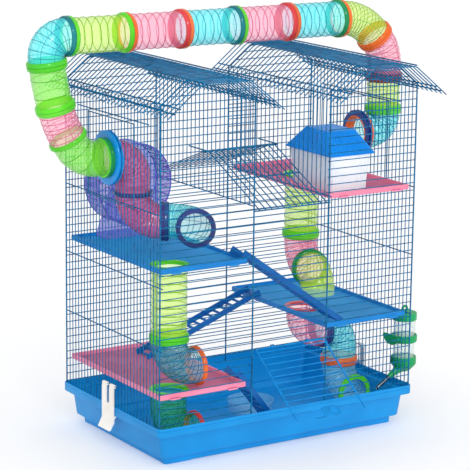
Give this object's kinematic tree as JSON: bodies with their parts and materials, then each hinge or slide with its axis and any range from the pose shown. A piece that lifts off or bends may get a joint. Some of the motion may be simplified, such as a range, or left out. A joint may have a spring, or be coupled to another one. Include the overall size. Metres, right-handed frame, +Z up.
{
  "type": "hamster cage",
  "caption": "Wire hamster cage with two roofed towers on a deep tray, with shelves, ladders, wheel, nest house, bottle and clear tubes inside and over the roof.",
  "frame": {"origin": "centre of the tray's footprint, on the floor", "axes": "+X along the long side to the right tower, -Y to the front with the door, +Z up"},
  "size_m": [0.669, 0.4394, 0.6589],
  "materials": {
    "clear_plastic": "clear",
    "clip_plastic": "satin white",
    "collar_plastic": "mixed colours",
    "cyan_tube": "clear blue",
    "green_plastic": "green",
    "green_tube": "clear green",
    "house_plastic": "satin white",
    "house_roof_plastic": "satin blue",
    "ladder_plastic": "satin blue",
    "painted_wire": "gloss blue enamel",
    "pink_plastic": "satin pink",
    "pink_tube": "clear pink",
    "red_tube": "clear red",
    "ring_plastic": "blue",
    "shelf_plastic": "satin blue",
    "spout_steel": "polished",
    "stand_plastic": "purple",
    "tray_plastic": "satin blue",
    "wheel_plastic": "clear purple"
  },
  "bodies": {
    "cage": {"back_wall": "painted_wire", "bottle": "clear_plastic", "bottle_cap": "green_plastic", "bottle_clasp": "green_plastic", "bottle_spout": "spout_steel", "bottle_top": "green_plastic", "clip_wires": "painted_wire", "entry_elbow": "cyan_tube", "food_bowl": "clear_plastic", "front_wall": "painted_wire", "house_body": "house_plastic", "inner_collars": "collar_plastic", "inner_walls": "painted_wire", "left_drop": "green_tube", "left_drop_elbow": "cyan_tube", "left_elbow": "green_tube", "left_floor_elbow": "green_tube", "left_high_bend": "green_tube", "left_low_bend": "pink_tube", "left_roof": "painted_wire", "left_side_door": "painted_wire", "left_top_elbow": "cyan_tube", "left_wall": "painted_wire", "left_wall_ring": "ring_plastic", "lower_ladder": "ladder_plastic", "lower_left_shelf": "pink_plastic", "middle_elbow": "pink_tube", "middle_ladder": "ladder_plastic", "middle_low_elbow": "cyan_tube", "middle_right_shelf": "shelf_plastic", "middle_roof": "painted_wire", "outer_collars": "collar_plastic", "right_drop": "green_tube", "right_drop_elbow": "pink_tube", "right_elbow": "cyan_tube", "right_floor_elbow": "cyan_tube", "right_low_bend": "pink_tube", "right_outlet": "green_tube", "right_riser": "green_tube", "right_roof": "painted_wire", "right_side_door": "painted_wire", "right_top_bend": "green_tube", "right_wall": "painted_wire", "right_wall_ring": "collar_plastic", "roof_gables": "painted_wire", "slide_bend": "red_tube", "slide_elbow": "cyan_tube", "top_tubes": "cyan_tube", "tray": "tray_plastic", "upper_ladder": "ladder_plastic", "upper_left_shelf": "shelf_plastic", "upper_right_shelf": "pink_plastic", "upright_posts": "painted_wire", "wheel_stand": "stand_plastic"},
    "front_door": {"front_door": "painted_wire", "front_door_latch": "painted_wire"},
    "wheel": {"wheel": "wheel_plastic"},
    "left_clip": {"left_clip": "clip_plastic"},
    "right_clip": {"right_clip": "clip_plastic"},
    "nest_roof": {"house_roof": "house_roof_plastic"}
  },
  "joints": [
    {"name": "front_door_hinge", "type": "hinge", "parent": "cage", "child": "front_door", "pos_m": [0, -0.13975, 0.1617], "axis": [-1, 0, 0], "range_deg": [-48, 88]},
    {"name": "wheel_spin", "type": "hinge", "parent": "cage", "child": "wheel", "pos_m": [-0.1405, 0.103, 0.382], "axis": [0, 1, 0], "continuous": true},
    {"name": "left_clip_swing", "type": "hinge", "parent": "cage", "child": "left_clip", "pos_m": [-0.2325, 0, 0.09625], "axis": [0, 1, 0], "range_deg": [0, 80]},
    {"name": "right_clip_swing", "type": "hinge", "parent": "cage", "child": "right_clip", "pos_m": [0.2325, 0, 0.09625], "axis": [0, -1, 0], "range_deg": [0, 80]},
    {"name": "nest_roof_lift", "type": "slide", "parent": "cage", "child": "nest_roof", "axis": [0, 0, 1], "range_m": [0, 0.04]}
  ]
}
